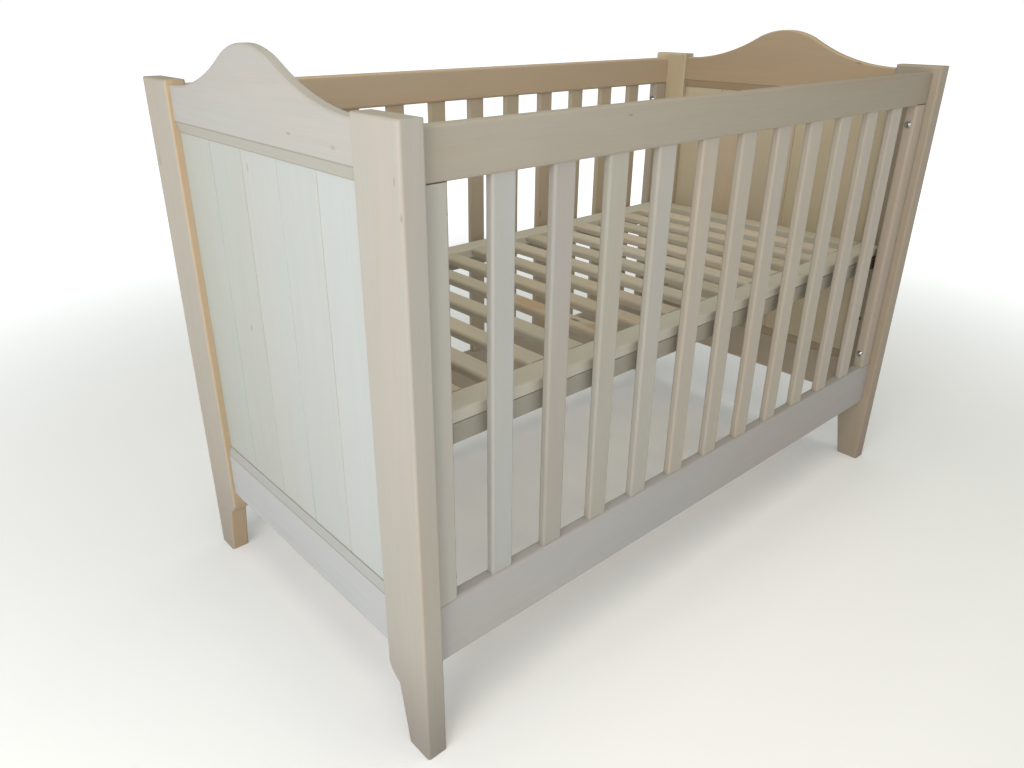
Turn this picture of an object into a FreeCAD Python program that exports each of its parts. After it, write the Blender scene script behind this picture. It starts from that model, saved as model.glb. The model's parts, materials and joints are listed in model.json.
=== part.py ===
"""Baby crib: two panelled ends with arched top rails, two slatted sides bolted between them, and a
slatted mattress base that rests on four brackets.

Millimetres. X runs along the crib, Y across it and Z up. The origin is on the floor, at the middle of
the crib. "left" is the end at -X and "front" is the side at -Y.
"""
import FreeCAD, Part
import math
import os

import Sketcher
from FreeCAD import Placement, Rotation, Vector

SIZES = {
    # whole crib
    "length": 1275.0,
    "width": 678.0,
    # corner posts
    "post_tall": 857.0,
    "post_thick": 32.0,
    "post_wide": 88.0,
    "post_ease": 4.0,
    "foot_wide": 46.5,
    "leg_wide": 64.5,
    "leg_tall": 97.0,
    "shoulder_tall": 122.0,
    "shoulder_radius": 40.0,
    "shoulder_ease": 5.0,
    # end rails and panels
    "rail_under": 144.0,
    "end_rail_thick": 18.0,
    "end_rail_tall": 84.0,
    "bevel_rise": 16.0,
    "bevel_edge": 8.8,
    "panel_top": 783.0,
    "panel_thick": 7.0,
    "groove_wide": 7.2,
    "groove_deep": 10.0,
    "board_wide": 99.8,
    "board_pitch": 100.0,
    "board_count": 5.0,
    "board_bite": 8.0,
    "edge_bite": 6.0,
    "tongue_thick": 2.4,
    "tongue_long": 4.6,
    "joint_chamfer": 1.0,
    "arch_shoulder": 66.5,
    "arch_rise": 64.0,
    "arch_radius": 150.0,
    "arch_ease": 4.0,
    "tenon_thick": 10.0,
    "tenon_long": 25.0,
    "tenon_tall": 40.0,
    "mortise_slack": 0.1,
    # sides
    "side_setback": 15.5,
    "side_thick": 21.0,
    "side_ease": 4.5,
    "top_rail_under": 787.7,
    "top_rail_tall": 58.5,
    "low_rail_tall": 95.5,
    "stile_wide": 38.5,
    "slat_wide": 37.3,
    "slat_thick": 13.0,
    "slat_ease": 4.0,
    "slat_count": 11.0,
    "slat_pitch": 98.0,
    "slat_shift_front": 5.5,
    "slat_shift_back": -1.5,
    "slat_bite": 12.0,
    "stile_tenon_wide": 27.0,
    "stile_tenon_thick": 9.0,
    # bolts that hold the sides to the posts
    "bolt_across": 6.0,
    "bolt_hole": 6.5,
    "bolt_head": 13.0,
    "bolt_head_tall": 4.5,
    "bolt_in_post": 20.0,
    "bolt_key": 4.0,
    "bolt_key_deep": 2.5,
    "bolt_low": 270.0,
    "bolt_rise": 482.0,
    "insert_across": 10.0,
    "insert_long": 14.0,
    # mattress base
    "base_gap": 6.0,
    "base_top": 501.0,
    "base_thick": 18.0,
    "base_rail_wide": 45.0,
    "base_end_wide": 40.0,
    "base_ease": 3.0,
    "base_tenon_thick": 7.0,
    "base_tenon_long": 15.0,
    "base_tenon_wide": 30.0,
    "batten_reach": 548.0,
    "batten_wide": 20.0,
    "batten_tall": 28.0,
    "batten_ease": 1.0,
    "rib_wide": 37.0,
    "rib_thick": 13.0,
    "rib_ease": 6.0,
    "rib_count": 14.0,
    "rib_pitch": 77.7,
    "rib_shift": -8.0,
    "rib_tongue_thick": 6.0,
    "rib_tongue_wide": 28.0,
    "rib_tongue_long": 8.0,
    "screw_across": 4.0,
    "screw_head": 8.0,
    "screw_head_tall": 2.8,
    "screw_long": 38.0,
    "screw_spacing": 440.0,
    "screw_count": 3.0,
    # brackets under the base
    "bracket_inset": 58.0,
    "bracket_wide": 40.0,
    "bracket_long": 50.0,
    "bracket_sheet": 3.0,
    "bracket_gap": 0.2,
    "bracket_under": 455.0,
    "flange_under": 459.0,
    "bracket_bolt_level": 468.0,
    "bracket_bolt_across": 6.8,
    "bracket_bolt_head": 12.0,
    "bracket_bolt_head_tall": 3.5,
    "bracket_hole": 7.0,
    "bracket_hole_deep": 22.0,
    "pin_beside": 12.0,
    "pin_across": 3.8,
    "pin_long": 7.0,
    "pin_hole": 4.0,
    "pin_hole_deep": 8.0,
    "height_step": 134.0,
    "height_count": 3.0,
}

doc = FreeCAD.newDocument("BabyCrib")
sheet = doc.addObject("Spreadsheet::Sheet", "Sizes")
for row, (alias, value) in enumerate(SIZES.items(), start=1):
    sheet.set(f"A{row}", alias)
    sheet.set(f"B{row}", str(value))
    sheet.setAlias(f"B{row}", alias)
doc.recompute()

parts = []


class SheetNames(dict):
    """Turns {alias} in an expression into the name of that cell."""

    def __missing__(self, key):
        return f"Sizes.{key}"


def expression(text):
    return text.format_map(SheetNames())


def number(text):
    return float(sheet.evalExpression(expression(text)))


def bind(item, path, text):
    item.setExpression(path, expression(text))


def new_body(label, x="0", y="0", z="0", turn=0.0):
    """An empty body that stands at x, y, z and is turned about Z by so many degrees."""
    body = doc.addObject("PartDesign::Body", label)
    body.Label = label
    body.Placement = Placement(Vector(), Rotation(Vector(0, 0, 1), turn))
    for axis, text in zip("xyz", (x, y, z)):
        bind(body, f"Placement.Base.{axis}", text)
    parts.append(body)
    return body


def origin_feature(body, role):
    return next(item for item in body.Origin.OriginFeatures if item.Role == role)


def new_sketch(body, plane, shift=("0", "0", "0")):
    """A sketch on one of the body's origin planes; shift is given along the sketch's own axes."""
    sketch = body.newObject("Sketcher::SketchObject", "Sketch")
    sketch.AttachmentSupport = (origin_feature(body, plane), [""])
    sketch.MapMode = "FlatFace"
    for axis, text in zip("xyz", shift):
        bind(sketch, f"AttachmentOffset.Base.{axis}", text)
    return sketch


def fix_point(sketch, geometry, end, x, y):
    """Holds one end of an edge at the sketch position x, y."""
    for axis, kind, text in ((-2, "DistanceX", x), (-1, "DistanceY", y)):
        value = number(text)
        if abs(value) < 1e-9:
            sketch.addConstraint(Sketcher.Constraint("PointOnObject", geometry, end, axis))
            continue
        if value > 0:
            rule = Sketcher.Constraint(kind, -1, 1, geometry, end, value)
        else:
            rule = Sketcher.Constraint(kind, geometry, end, -1, 1, -value)
            text = f"-({text})"
        index = sketch.addConstraint(rule)
        sketch.renameConstraint(index, f"{kind}_{geometry}_{end}")
        bind(sketch, f"Constraints.{kind}_{geometry}_{end}", text)


def draw_outline(sketch, outline):
    """Draws a closed outline of (x, y, radius) corners, each an expression.

    The radius belongs to the edge that leaves the corner: None for a straight edge, above zero for an
    arc that turns left and below zero for one that turns right.
    """
    corners = [Vector(number(x), number(y), 0) for x, y, _ in outline]
    ends = []
    for (_, _, radius), start, stop in zip(outline, corners, corners[1:] + corners[:1]):
        if radius is None:
            index = sketch.addGeometry(Part.LineSegment(start, stop))
            ends.append((index, 1, 2))
            continue
        bend = number(radius)
        chord = stop - start
        side = Vector(-chord.y, chord.x, 0).normalize() * math.copysign(1.0, bend)
        centre = start + chord * 0.5 + side * math.sqrt(bend ** 2 - (chord.Length / 2) ** 2)
        first, last = (start, stop) if bend > 0 else (stop, start)
        from_angle = math.atan2(first.y - centre.y, first.x - centre.x)
        to_angle = math.atan2(last.y - centre.y, last.x - centre.x)
        circle = Part.Circle(centre, Vector(0, 0, 1), abs(bend))
        index = sketch.addGeometry(Part.ArcOfCircle(circle, from_angle, to_angle))
        ends.append((index, 1, 2) if bend > 0 else (index, 2, 1))
    for this, following in zip(ends, ends[1:] + ends[:1]):
        sketch.addConstraint(Sketcher.Constraint("Coincident", this[0], this[2], following[0], following[1]))
    for (index, start_end, _), (x, y, radius) in zip(ends, outline):
        fix_point(sketch, index, start_end, x, y)
        if radius is not None:
            rule = sketch.addConstraint(Sketcher.Constraint("Radius", index, abs(number(radius))))
            sketch.renameConstraint(rule, f"Radius_{index}")
            bind(sketch, f"Constraints.Radius_{index}", f"abs({radius})")


def eased_rectangle(x_low, x_high, y_low, y_high, ease):
    """The outline of a rectangle whose corners are rounded by ease."""
    return [
        (f"{x_low} + {ease}", y_low, None),
        (f"{x_high} - {ease}", y_low, ease),
        (x_high, f"{y_low} + {ease}", None),
        (x_high, f"{y_high} - {ease}", ease),
        (f"{x_high} - {ease}", y_high, None),
        (f"{x_low} + {ease}", y_high, ease),
        (x_low, f"{y_high} - {ease}", None),
        (x_low, f"{y_low} + {ease}", ease),
    ]


def pad(body, sketch, length, symmetric=False):
    feature = body.newObject("PartDesign::Pad", "Pad")
    feature.Profile = sketch
    feature.SideType = "Symmetric" if symmetric else "One side"
    bind(feature, "Length", length)
    doc.recompute()
    return feature


def box(body, corner, size, cut=False):
    """Adds or cuts a box, given by its lowest corner and its size along X, Y and Z."""
    feature = body.newObject("PartDesign::SubtractiveBox" if cut else "PartDesign::AdditiveBox", "Box")
    for axis, text in zip("xyz", corner):
        bind(feature, f"Placement.Base.{axis}", text)
    for name, text in zip(("Length", "Width", "Height"), size):
        bind(feature, name, text)
    doc.recompute()
    return feature


def cylinder(body, start, across, length, turn=None, cut=True):
    """Adds or cuts a round bar that starts at a point and runs along Z, or along the turned Z."""
    kind = "PartDesign::SubtractiveCylinder" if cut else "PartDesign::AdditiveCylinder"
    feature = body.newObject(kind, "Cylinder")
    if turn is not None:
        feature.Placement = Placement(Vector(), turn)
    for axis, text in zip("xyz", start):
        bind(feature, f"Placement.Base.{axis}", text)
    bind(feature, "Radius", f"({across}) / 2")
    bind(feature, "Height", length)
    doc.recompute()
    return feature


ALONG_X = Rotation(Vector(0, 1, 0), 90)
ALONG_MINUS_X = Rotation(Vector(0, 1, 0), -90)


def spin(body, outline, shift):
    """Turns an outline in the XY plane about the sketch's own horizontal axis."""
    sketch = new_sketch(body, "XY_Plane", shift)
    draw_outline(sketch, outline)
    feature = body.newObject("PartDesign::Revolution", "Revolution")
    feature.Profile = sketch
    feature.ReferenceAxis = (sketch, ["H_Axis"])
    doc.recompute()
    return feature


def row_of(body, axis, pitch, count, features=None):
    """Repeats the given features, or the whole body, along one of the body's axes."""
    feature = body.newObject("PartDesign::LinearPattern", "Row")
    if features:
        feature.Originals = features
    else:
        feature.TransformMode = "Whole shape"
    feature.Direction = (origin_feature(body, axis), [""])
    feature.Mode = "Spacing"
    bind(feature, "Offset", pitch)
    bind(feature, "Occurrences", count)
    body.Tip = feature
    doc.recompute()
    return feature


def mirror_whole(body, plane):
    feature = body.newObject("PartDesign::Mirrored", "Mirror")
    feature.TransformMode = "Whole shape"
    feature.MirrorPlane = (origin_feature(body, plane), [""])
    body.Tip = feature
    doc.recompute()


def ease_edges(body, radius, wanted):
    """Rounds every edge of the body's last feature that wanted(edge) picks."""
    base = body.Tip
    names = [f"Edge{i}" for i, edge in enumerate(base.Shape.Edges, start=1) if wanted(edge)]
    feature = body.newObject("PartDesign::Fillet", "Fillet")
    feature.Base = (base, names)
    bind(feature, "Radius", radius)
    doc.recompute()


# Heights and places that several parts share, as expressions.
LOW_RAIL_TOP = "({rail_under} + {low_rail_tall})"
SLAT_CLEAR = "({top_rail_under} - {rail_under} - {low_rail_tall})"
END_RAIL_TOP = "({rail_under} + {end_rail_tall} + {bevel_rise})"
HALF_PANEL = "({width} / 2 - {post_wide})"
SIDE_LONG = "({length} - 2 * {post_thick})"
SIDE_MIDDLE = "({side_setback} + {side_thick} / 2)"
SLAT_ROW = "(({slat_count} - 1) * {slat_pitch} + {slat_wide})"
ARCH_REACH = f"(({HALF_PANEL} ^ 2 + {{arch_rise}} ^ 2) / (2 * {{arch_rise}}))"
BASE_LONG = f"({SIDE_LONG} - 2 * {{base_gap}})"
BASE_HALF_WIDE = "({width} / 2 - {side_setback} - {side_thick} - {base_gap})"
BASE_UNDER = "({base_top} - {base_thick})"
RIB_CLEAR = f"(2 * ({BASE_HALF_WIDE} - {{base_rail_wide}}))"
FIRST_RIB = "({rib_shift} - ({rib_count} - 1) / 2 * {rib_pitch} - {rib_wide} / 2)"
POST_FACE = "({length} / 2 - {post_thick})"


def make_post(label, x_sign, y_sign):
    """A corner post. Its own X runs inwards from the end face; hand tells which way its width runs."""
    turned = x_sign > 0
    hand = y_sign if turned else -y_sign
    body = new_body(label, f"{x_sign} * {{length}} / 2", f"{y_sign} * {{width}} / 2", turn=180.0 * turned)
    outline = [
        ("0", "0", None),
        (f"{hand} * {{foot_wide}}", "0", None),
        (f"{hand} * {{leg_wide}}", "{leg_tall}", f"{hand} * {{shoulder_radius}}"),
        (f"{hand} * {{post_wide}}", "{shoulder_tall}", None),
        (f"{hand} * {{post_wide}}", "{post_tall}", None),
        ("0", "{post_tall}", None),
    ]
    sketch = new_sketch(body, "YZ_Plane")
    draw_outline(sketch, outline)
    pad(body, sketch, "{post_thick}")
    thick = number("{post_thick}")
    leg_top = number("{leg_tall}")
    ease_edges(body, "{shoulder_ease}",
               lambda edge: edge.BoundBox.ZLength < 1e-3 and leg_top - 1 < edge.BoundBox.ZMin < 2 * leg_top
               and edge.BoundBox.YLength < 1e-3)

    def on_a_face(edge):
        ends = [vertex.X for vertex in edge.Vertexes]
        flat = all(abs(x) < 1e-6 for x in ends) or all(abs(x - thick) < 1e-6 for x in ends)
        return flat and edge.BoundBox.ZMax > 1.0

    ease_edges(body, "{post_ease}", on_a_face)

    def across(depth):
        """The low side, along the post's width, of a cut that runs in from its inner edge."""
        return f"{{post_wide}} - {depth}" if hand > 0 else "-{post_wide}"

    box(body,
        ("{post_thick} / 2 - {groove_wide} / 2", across("{edge_bite} - 1"),
         f"{END_RAIL_TOP} - {{groove_deep}}"),
        ("{groove_wide}", "{edge_bite} + 1", f"{{panel_top}} - {END_RAIL_TOP} + 2 * {{groove_deep}}"),
        cut=True)
    tenon_levels = ("{rail_under} + ({end_rail_tall} - {tenon_tall}) / 2", "{panel_top} + {bevel_rise} + 4")
    for level in tenon_levels:
        box(body,
            ("{post_thick} / 2 - {tenon_thick} / 2 - {mortise_slack}", across("{tenon_long} - 1"),
             f"{level} - {{mortise_slack}}"),
            ("{tenon_thick} + 2 * {mortise_slack}", "{tenon_long} + 1", "{tenon_tall} + 2 * {mortise_slack}"),
            cut=True)
    for level in ("{bolt_low}", "{bolt_low} + {bolt_rise}"):
        bolt_line = f"{hand} * {SIDE_MIDDLE}"
        cylinder(body, ("{post_thick}", bolt_line, level), "{insert_across}", "{insert_long}", ALONG_MINUS_X)
        cylinder(body, ("{post_thick}", bolt_line, level), "{bolt_hole}", "{bolt_in_post} + 2", ALONG_MINUS_X)
    lowest = "{bracket_bolt_level} - ({height_count} - 1) * {height_step}"
    for inset, wide, deep in (("{bracket_inset}", "{bracket_hole}", "{bracket_hole_deep}"),
                              ("({bracket_inset} + {pin_beside})", "{pin_hole}", "{pin_hole_deep}")):
        hole = cylinder(body, ("{post_thick}", f"{hand} * {inset}", lowest), wide, deep, ALONG_MINUS_X)
        row_of(body, "Z_Axis", "{height_step}", "{height_count}", [hole])


def make_arch_rail(label, x_sign):
    """The bell-shaped top rail of an end; its own Z starts at the top of the panel."""
    body = new_body(label, f"{x_sign} * ({{length}} / 2 - {{post_thick}} / 2)", "0", "{panel_top}")
    turn_y = f"({HALF_PANEL} * {{arch_radius}} / {ARCH_REACH})"
    crown = "({arch_shoulder} + {arch_rise} - {arch_radius})"
    turn_z = f"({crown} + {{arch_radius}} * ({ARCH_REACH} - {{arch_rise}}) / {ARCH_REACH})"
    shoulder_bend = f"-({ARCH_REACH} - {{arch_radius}})"
    sketch = new_sketch(body, "YZ_Plane")
    draw_outline(sketch, [
        (f"-{HALF_PANEL}", "0", None),
        (HALF_PANEL, "0", None),
        (HALF_PANEL, "{arch_shoulder}", shoulder_bend),
        (turn_y, turn_z, "{arch_radius}"),
        (f"-{turn_y}", turn_z, shoulder_bend),
        (f"-{HALF_PANEL}", "{arch_shoulder}", None),
    ])
    pad(body, sketch, "{end_rail_thick}", symmetric=True)
    shoulder = number("{arch_shoulder}")
    ease_edges(body, "{arch_ease}",
               lambda edge: edge.BoundBox.ZMin > shoulder - 1 and edge.BoundBox.XLength < 1e-3)
    face = "{end_rail_thick} / 2"
    for side in (1, -1):
        bevel = new_sketch(body, "XZ_Plane", ("0", "0", f"{HALF_PANEL} + 1"))
        draw_outline(bevel, [
            (f"{side} * {{bevel_edge}} / 2", "0", None),
            (f"{side} * ({face} + 1)", "0", None),
            (f"{side} * ({face} + 1)", "{bevel_rise}", None),
            (f"{side} * {face}", "{bevel_rise}", None),
        ])
        cut = body.newObject("PartDesign::Pocket", "Bevel")
        cut.Profile = bevel
        cut.Type = "ThroughAll"
        doc.recompute()
    box(body, ("-{groove_wide} / 2", f"-{HALF_PANEL} - 1", "-1"),
        ("{groove_wide}", f"2 * {HALF_PANEL} + 2", "{groove_deep} + 1"), cut=True)
    add_end_tenons(body, "{bevel_rise} + 4")


def add_end_tenons(body, level):
    for low in (f"-{HALF_PANEL} - {{tenon_long}}", HALF_PANEL):
        box(body, ("-{tenon_thick} / 2", low, level), ("{tenon_thick}", "{tenon_long}", "{tenon_tall}"))


def make_end_rail(label, x_sign):
    """The bottom rail of an end, bevelled on both faces up to the panel."""
    body = new_body(label, f"{x_sign} * ({{length}} / 2 - {{post_thick}} / 2)", "0", "{rail_under}")
    face = "{end_rail_thick} / 2"
    top = "{end_rail_tall} + {bevel_rise}"
    sketch = new_sketch(body, "XZ_Plane")
    draw_outline(sketch, [
        (f"-{face} + {{side_ease}}", "0", None),
        (f"{face} - {{side_ease}}", "0", "{side_ease}"),
        (face, "{side_ease}", None),
        (face, "{end_rail_tall}", None),
        ("{bevel_edge} / 2", top, None),
        ("{groove_wide} / 2", top, None),
        ("{groove_wide} / 2", f"{top} - {{groove_deep}}", None),
        ("-{groove_wide} / 2", f"{top} - {{groove_deep}}", None),
        ("-{groove_wide} / 2", top, None),
        ("-{bevel_edge} / 2", top, None),
        (f"-{face}", "{end_rail_tall}", None),
        (f"-{face}", "{side_ease}", "{side_ease}"),
    ])
    pad(body, sketch, f"2 * {HALF_PANEL}", symmetric=True)
    add_end_tenons(body, "({end_rail_tall} - {tenon_tall}) / 2")


def make_board(label, x_sign, place):
    """One tongue-and-groove panel board; place counts from 0 at the front."""
    count = int(number("{board_count}"))
    body = new_body(label, f"{x_sign} * ({{length}} / 2 - {{post_thick}} / 2)",
                    f"-{HALF_PANEL} + {place} * {{board_pitch}} + ({{board_pitch}} - {{board_wide}}) / 2",
                    f"{END_RAIL_TOP} - {{board_bite}}")
    half = "{panel_thick} / 2"
    cut = "{joint_chamfer}"
    wide = "{board_wide}"
    slot = "({tongue_thick} / 2 + {mortise_slack})"
    slot_deep = "({tongue_long} + 2 * {mortise_slack})"
    low_edge = [
        (f"-{half}", cut, None),
        (f"-{half} + {cut}", "0", None),
        (f"-{slot}", "0", None),
        (f"-{slot}", slot_deep, None),
        (slot, slot_deep, None),
        (slot, "0", None),
        (f"{half} - {cut}", "0", None),
        (half, cut, None),
    ]
    high_edge = [
        (half, f"{wide} - {cut}", None),
        (f"{half} - {cut}", wide, None),
        ("{tongue_thick} / 2", wide, None),
        ("{tongue_thick} / 2", f"{wide} + {{tongue_long}}", None),
        ("-{tongue_thick} / 2", f"{wide} + {{tongue_long}}", None),
        ("-{tongue_thick} / 2", wide, None),
        (f"-{half} + {cut}", wide, None),
        (f"-{half}", f"{wide} - {cut}", None),
    ]
    if place == 0:
        low_edge = [(f"-{half}", "-{edge_bite}", None), (half, "-{edge_bite}", None)]
    if place == count - 1:
        high_edge = [(half, f"{wide} + {{edge_bite}}", None), (f"-{half}", f"{wide} + {{edge_bite}}", None)]
    sketch = new_sketch(body, "XY_Plane")
    draw_outline(sketch, low_edge + high_edge)
    pad(body, sketch, f"{{panel_top}} - {END_RAIL_TOP} + 2 * {{board_bite}}")


def first_slat(y_sign):
    """Where the slats of a side start, from its left end; neither row is quite in the middle."""
    shift = "{slat_shift_front}" if y_sign < 0 else "{slat_shift_back}"
    return f"({SIDE_LONG} / 2 - {SLAT_ROW} / 2 + {shift})"


def make_side_rail(label, y_sign, under, tall, socket_floor):
    """A long rail of a side, with blind mortises for its slats and stiles."""
    low_y = "-{width} / 2 + {side_setback}" if y_sign < 0 else "{width} / 2 - {side_setback} - {side_thick}"
    body = new_body(label, f"-{SIDE_LONG} / 2", low_y, under)
    sketch = new_sketch(body, "YZ_Plane")
    draw_outline(sketch, eased_rectangle("0", "{side_thick}", "0", tall, "{side_ease}"))
    pad(body, sketch, SIDE_LONG)
    slack = "{mortise_slack}"
    deep = "({slat_bite} + 1)"
    start = first_slat(y_sign)
    slat_socket = new_sketch(body, "XY_Plane", ("0", "0", socket_floor))
    draw_outline(slat_socket, eased_rectangle(
        f"({start} - {slack})", f"({start} + {{slat_wide}} + {slack})",
        f"({{side_thick}} / 2 - {{slat_thick}} / 2 - {slack})",
        f"({{side_thick}} / 2 + {{slat_thick}} / 2 + {slack})", "{slat_ease}"))
    sockets = body.newObject("PartDesign::Pocket", "SlatSocket")
    sockets.Profile = slat_socket
    sockets.Reversed = True
    bind(sockets, "Length", deep)
    doc.recompute()
    row_of(body, "X_Axis", "{slat_pitch}", "{slat_count}", [sockets])
    for middle in ("{stile_wide} / 2", f"({SIDE_LONG} - {{stile_wide}} / 2)"):
        box(body,
            (f"{middle} - {{stile_tenon_wide}} / 2 - {slack}",
             f"{{side_thick}} / 2 - {{stile_tenon_thick}} / 2 - {slack}", socket_floor),
            (f"{{stile_tenon_wide}} + 2 * {slack}", f"{{stile_tenon_thick}} + 2 * {slack}", deep), cut=True)


def make_stile(label, x_sign, y_sign):
    """The upright at each end of a side, bolted to the post beside it."""
    low_x = f"-{SIDE_LONG} / 2" if x_sign < 0 else f"{SIDE_LONG} / 2 - {{stile_wide}}"
    low_y = "-{width} / 2 + {side_setback}" if y_sign < 0 else "{width} / 2 - {side_setback} - {side_thick}"
    body = new_body(label, low_x, low_y, LOW_RAIL_TOP)
    sketch = new_sketch(body, "XY_Plane")
    draw_outline(sketch, eased_rectangle("0", "{stile_wide}", "0", "{side_thick}", "{side_ease}"))
    pad(body, sketch, SLAT_CLEAR)
    for low in ("-{slat_bite}", SLAT_CLEAR):
        box(body,
            ("{stile_wide} / 2 - {stile_tenon_wide} / 2", "{side_thick} / 2 - {stile_tenon_thick} / 2", low),
            ("{stile_tenon_wide}", "{stile_tenon_thick}", "{slat_bite}"))
    for level in ("{bolt_low}", "{bolt_low} + {bolt_rise}"):
        cylinder(body, ("-1", "{side_thick} / 2", f"{level} - {LOW_RAIL_TOP}"),
                 "{bolt_hole}", "{stile_wide} + 2", ALONG_X)


def make_slat(label, y_sign, place):
    """One upright slat of a side; place counts from 0 at the left."""
    body = new_body(label, f"-{SIDE_LONG} / 2 + {first_slat(y_sign)} + {place} * {{slat_pitch}}",
                    f"{y_sign} * ({{width}} / 2 - {SIDE_MIDDLE}) - {{slat_thick}} / 2",
                    f"{LOW_RAIL_TOP} - {{slat_bite}}")
    sketch = new_sketch(body, "XY_Plane")
    draw_outline(sketch, eased_rectangle("0", "{slat_wide}", "0", "{slat_thick}", "{slat_ease}"))
    pad(body, sketch, f"{SLAT_CLEAR} + 2 * {{slat_bite}}")


def make_side_bolts():
    """Dome-headed bolts through the stiles into the posts, two at each corner."""
    body = new_body("side_bolts")
    head = "{bolt_head} / 2"
    spin(body, [
        ("-{stile_wide} - {bolt_in_post}", "0", None),
        ("{bolt_head_tall}", "0", "{bolt_head}"),
        ("{bolt_head_tall} / 3", head, None),
        ("0", head, None),
        ("0", "{bolt_across} / 2", None),
        ("-{stile_wide} - {bolt_in_post}", "{bolt_across} / 2", None),
    ], (f"-{SIDE_LONG} / 2 + {{stile_wide}}", f"-{{width}} / 2 + {SIDE_MIDDLE}", "{bolt_low}"))
    key = new_sketch(body, "YZ_Plane", (f"-{{width}} / 2 + {SIDE_MIDDLE}", "{bolt_low}",
                                        f"-{SIDE_LONG} / 2 + {{stile_wide}} + {{bolt_head_tall}} + 1"))
    reach = "{bolt_key} / sqrt(3)"
    turns = [(f"{reach} * cos({angle} deg)", f"{reach} * sin({angle} deg)", None)
             for angle in range(30, 390, 60)]
    draw_outline(key, turns)
    socket = body.newObject("PartDesign::Pocket", "KeySocket")
    socket.Profile = key
    bind(socket, "Length", "{bolt_key_deep} + 1")
    doc.recompute()
    row_of(body, "Z_Axis", "{bolt_rise}", "2")
    body_to_four_corners(body)


def make_threaded_inserts():
    """Brass sleeves in the posts that the side bolts screw into."""
    body = new_body("threaded_inserts")
    start = (f"-{SIDE_LONG} / 2", f"-{{width}} / 2 + {SIDE_MIDDLE}", "{bolt_low}")
    cylinder(body, start, "{insert_across}", "{insert_long}", ALONG_MINUS_X, cut=False)
    cylinder(body, start, "{bolt_across} + 0.1", "{insert_long}", ALONG_MINUS_X)
    row_of(body, "Z_Axis", "{bolt_rise}", "2")
    body_to_four_corners(body)


def body_to_four_corners(body):
    body.AllowCompound = True
    mirror_whole(body, "YZ_Plane")
    mirror_whole(body, "XZ_Plane")


def make_brackets():
    """Bent steel brackets on the posts: a back plate, a shelf and a front flange, with a locating pin."""
    body = new_body("support_brackets")
    x = f"-{SIDE_LONG} / 2"
    y_low = "-{width} / 2 + {bracket_inset} - {bracket_wide} / 2"
    y_middle = "-{width} / 2 + {bracket_inset}"
    top = f"({BASE_UNDER} - {{bracket_gap}})"
    sheet_thick = "{bracket_sheet}"
    box(body, (x, y_low, "{bracket_under}"), (sheet_thick, "{bracket_wide}", f"{top} - {{bracket_under}}"))
    box(body, (x, y_low, f"{top} - {sheet_thick}"), ("{bracket_long}", "{bracket_wide}", sheet_thick))
    box(body, (x, y_low, "{flange_under}"), ("{bracket_long}", sheet_thick, f"{top} - {{flange_under}}"))
    cylinder(body, (x, f"{y_middle} + {{pin_beside}}", "{bracket_bolt_level}"),
             "{pin_across}", "{pin_long}", ALONG_MINUS_X, cut=False)
    cylinder(body, (f"{x} - 1", y_middle, "{bracket_bolt_level}"),
             "{bracket_hole}", f"{sheet_thick} + 2", ALONG_X)
    body_to_four_corners(body)


def make_bracket_bolts():
    body = new_body("bracket_bolts")
    head = "{bracket_bolt_head} / 2"
    bite = "({bracket_hole_deep} - 2)"
    spin(body, [
        (f"-{{bracket_sheet}} - {bite}", "0", None),
        ("{bracket_bolt_head_tall}", "0", "{bracket_bolt_head}"),
        ("{bracket_bolt_head_tall} / 3", head, None),
        ("0", head, None),
        ("0", "{bracket_bolt_across} / 2", None),
        (f"-{{bracket_sheet}} - {bite}", "{bracket_bolt_across} / 2", None),
    ], (f"-{SIDE_LONG} / 2 + {{bracket_sheet}}", "-{width} / 2 + {bracket_inset}", "{bracket_bolt_level}"))
    body_to_four_corners(body)


def make_base_rail(label, y_sign):
    """A long rail of the mattress base, mortised for the ribs and the end rails."""
    low_y = f"-{BASE_HALF_WIDE}" if y_sign < 0 else f"{BASE_HALF_WIDE} - {{base_rail_wide}}"
    body = new_body(label, "0", low_y, BASE_UNDER)
    sketch = new_sketch(body, "YZ_Plane")
    draw_outline(sketch, eased_rectangle("0", "{base_rail_wide}", "0", "{base_thick}", "{base_ease}"))
    pad(body, sketch, BASE_LONG, symmetric=True)
    slack = "{mortise_slack}"

    def inner_side(depth):
        return f"{{base_rail_wide}} - {depth}" if y_sign < 0 else "-1"

    rib_socket = box(
        body,
        (f"{FIRST_RIB} + ({{rib_wide}} - {{rib_tongue_wide}}) / 2 - {slack}",
         inner_side(f"{{rib_tongue_long}} - {slack}"),
         f"{{base_thick}} - {{rib_thick}} / 2 - {{rib_tongue_thick}} / 2 - {slack}"),
        (f"{{rib_tongue_wide}} + 2 * {slack}", f"{{rib_tongue_long}} + {slack} + 1",
         f"{{rib_tongue_thick}} + 2 * {slack}"), cut=True)
    row_of(body, "X_Axis", "{rib_pitch}", "{rib_count}", [rib_socket])
    for middle in (f"-{BASE_LONG} / 2 + {{base_end_wide}} / 2", f"{BASE_LONG} / 2 - {{base_end_wide}} / 2"):
        box(body,
            (f"{middle} - {{base_tenon_wide}} / 2 - {slack}", inner_side(f"{{base_tenon_long}} - {slack}"),
             f"{{base_thick}} / 2 - {{base_tenon_thick}} / 2 - {slack}"),
            (f"{{base_tenon_wide}} + 2 * {slack}", f"{{base_tenon_long}} + {slack} + 1",
             f"{{base_tenon_thick}} + 2 * {slack}"), cut=True)
    from_face = "{batten_wide} / 2" if y_sign < 0 else "{base_rail_wide} - {batten_wide} / 2"
    pilot = cylinder(body, ("-({screw_count} - 1) / 2 * {screw_spacing}", from_face, "-1"),
                     "{screw_across} + 2 * {mortise_slack}", "{screw_long} - {batten_tall} + 2")
    row_of(body, "X_Axis", "{screw_spacing}", "{screw_count}", [pilot])


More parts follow.
